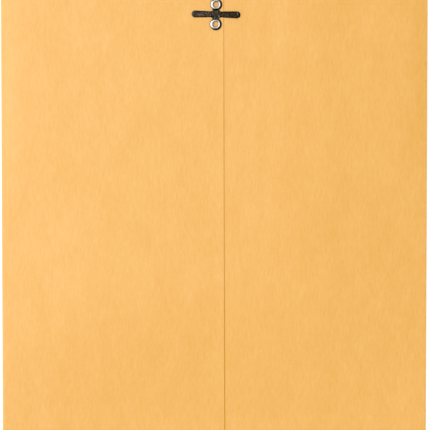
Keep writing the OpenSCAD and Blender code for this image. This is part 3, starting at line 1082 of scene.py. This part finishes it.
def clasp_plate():
    """The plate between the eyelets, with ears that flare out beside the prongs' roots."""
    seat_x = NECK_W / 2 - METAL_T / 2 - SEAT_GAP_X
    seat_y = PRONG_ROOT_W / 2 + SEAT_GAP_Y
    ear_x = NECK_W / 2 + EAR_REACH
    fillet = ear_x - WAIST_W / 2
    quarter = [(seat_x, seat_y), (ear_x, seat_y)]
    quarter += corner_round((ear_x, seat_y + fillet + EAR_T), fillet, -math.pi / 2, -math.pi)
    reach = math.acos(WAIST_W / 2 / RIM_MID_R)
    quarter += corner_round((0, EYELET_PITCH / 2), RIM_MID_R, -reach, -math.pi / 2)
    upper = quarter + [(-x, y) for x, y in reversed(quarter[:-1])]
    outline = upper + [(-x, -y) for x, y in upper]
    levels = [(outline, PLATE_LIFT), (outline, PLATE_LIFT + METAL_T)]
    return finish_stamping(pressed_metal("clasp_plate", levels, WORN_PLATE_EDGE))


def prong_outline(side, inset):
    """The outline of one prong, drawn in by the inset."""
    half_root = PRONG_ROOT_W / 2 - inset
    half_tip = PRONG_TIP_W / 2 - inset
    tip_x = PRONG_LEN - PRONG_TIP_W / 2
    belly = (half_root + half_tip) / 2 + PRONG_BELLY
    widths = [(-METAL_T / 2, half_root), (PRONG_ROOT_LEN, half_root)]
    widths.append((tip_x * PRONG_BELLY_AT, belly))
    edge = [(x, -y) for x, y in widths]
    edge += corner_round((tip_x, 0), half_tip, -math.pi / 2, math.pi / 2, TIP_STEPS)
    edge += reversed(widths)
    outline = [(side * (NECK_W / 2 + x), y) for x, y in edge]
    if side < 0:
        outline.reverse()
    return outline


def prong(name, side):
    """One prong, a little crowned, whose bend turns about a point just inside its root."""
    outline = prong_outline(side, 0)
    top = PLATE_LIFT + METAL_T
    crown = prong_outline(side, CROWN_W)
    levels = [(outline, PLATE_LIFT), (outline, top - CROWN_DROP), (crown, top)]
    return finish_stamping(pressed_metal(name, levels, WORN_PRONG_EDGE))


envelope = kraft_envelope()
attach(envelope, "envelope")
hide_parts("envelope_sheet")

patch = hole_patch()
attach(patch, "envelope")
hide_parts("hole_patch")

for part in (clasp_eyelets(), clasp_plate()):
    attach(part, "envelope")
    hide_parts("clasp")

for part_name, body, side in (("prong_left", "left_prong", -1), ("prong_right", "right_prong", 1)):
    part = prong(part_name, side)
    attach(part, body)
    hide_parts(body)


# Floor, light and camera

FLOOR_HALF = 8000
FLOOR_DROP = 0.02
FLOOR_GLOW = 0.32
SOFT_LIGHT = 0.922
DIM_CEILING = 0.02
LIT_PATCH = 0.7
LIT_LEAN = math.radians(7)
BACK_WALL = 0.6

# Between which directions the light parts of the room fade in
LIT_EDGE = (math.radians(12), math.radians(6))
LOW_EDGE = (0.0, 0.11)
LEFT_EDGE = (-0.85, -0.40)
BACK_EDGE = (0.62, 0.88)

# The lamp and the camera
KEY_SIZE = (2.1, 3.0)
KEY_POWER = 27
KEY_DISTANCE = 3.1
KEY_TURN = math.radians(13)
KEY_LEAN = math.radians(30)
CAMERA_LENS = 186.57
CAMERA_DISTANCE = 1.2
CAMERA_LEAN = math.radians(2.70)
CAMERA_TARGET = (0.35, 7.0, 0)


def floor():
    material, work, surface = new_material("white_floor")
    surface["Base Color"].default_value = (0.82, 0.82, 0.82, 1)
    surface["Roughness"].default_value = 0.9
    surface["Specular IOR Level"].default_value = 0.1
    path = work.add("ShaderNodeLightPath").outputs
    seen = work.math("MAXIMUM", path["Is Camera Ray"], path["Is Glossy Ray"])
    seen = work.math("MAXIMUM", seen, path["Is Transmission Ray"])
    surface["Emission Color"].default_value = (1, 1, 1, 1)
    work.feed(surface["Emission Strength"], work.math("MULTIPLY", seen, FLOOR_GLOW))
    signs = [(-1, -1), (1, -1), (1, 1), (-1, 1)]
    corners = [(x * FLOOR_HALF, y * FLOOR_HALF, -FLOOR_DROP) for x, y in signs]
    piece = new_piece("floor", corners, [(0, 1, 2, 3)])
    paint(piece, material)


def studio_world():
    """Even soft light, and the room that gloss sees.

    It is white low down and on the left, paler behind and in a patch above, dim elsewhere.
    """
    world = bpy.data.worlds.new("studio")
    bpy.context.scene.world = world
    world.use_nodes = True
    world.node_tree.nodes.clear()
    work = NodeWork(world.node_tree)
    aside, ahead, up = work.split(work.add("ShaderNodeTexCoord").outputs["Generated"])
    low_down = work.remap(up, *LOW_EDGE, 1.0, DIM_CEILING)
    left = work.remap(aside, *LEFT_EDGE, 1.0, 0.0)
    behind = work.remap(ahead, *BACK_EDGE, 0.0, BACK_WALL)
    above = work.math("MULTIPLY", up, math.cos(LIT_LEAN))
    above = work.math("MULTIPLY_ADD", ahead, math.sin(LIT_LEAN), above)
    edge, full = (math.cos(angle) for angle in LIT_EDGE)
    above = work.remap(above, edge, full, 0.0, LIT_PATCH)
    path = work.add("ShaderNodeLightPath").outputs
    soft = work.math("MULTIPLY", path["Is Diffuse Ray"], SOFT_LIGHT)
    strength = low_down
    for other in (left, above, behind, soft, path["Is Camera Ray"], path["Is Transmission Ray"]):
        strength = work.math("MAXIMUM", strength, other)
    back = work.add("ShaderNodeBackground", {"Color": (1, 1, 1, 1), "Strength": strength})
    work.add("ShaderNodeOutputWorld", {"Surface": back.outputs[0]})


def key_light():
    """One large soft lamp, high up on the left."""
    lamp = bpy.data.lights.new("key", "AREA")
    lamp.shape = "RECTANGLE"
    lamp.size, lamp.size_y = KEY_SIZE
    lamp.energy = KEY_POWER
    piece = bpy.data.objects.new("key", lamp)
    bpy.context.scene.collection.objects.link(piece)
    aside = math.sin(KEY_LEAN)
    towards = (-aside * math.cos(KEY_TURN), aside * math.sin(KEY_TURN), math.cos(KEY_LEAN))
    towards = Vector(towards)
    piece.location = towards * KEY_DISTANCE
    piece.rotation_euler = towards.to_track_quat("Z", "Y").to_euler()
    piece.visible_camera = False


def camera():
    """Looks straight down, tilted a little so that the flap's end comes nearer."""
    target = Vector(CAMERA_TARGET) * MM
    lens = bpy.data.cameras.new("camera")
    lens.sensor_width = 36
    lens.lens = CAMERA_LENS
    piece = bpy.data.objects.new("camera", lens)
    bpy.context.scene.collection.objects.link(piece)
    towards = Vector((0, math.sin(CAMERA_LEAN), math.cos(CAMERA_LEAN)))
    piece.location = target + towards * CAMERA_DISTANCE
    piece.rotation_euler = (-CAMERA_LEAN, 0, 0)
    bpy.context.scene.camera = piece


floor()
studio_world()
key_light()
camera()
bpy.context.scene.view_settings.view_transform = "Standard"
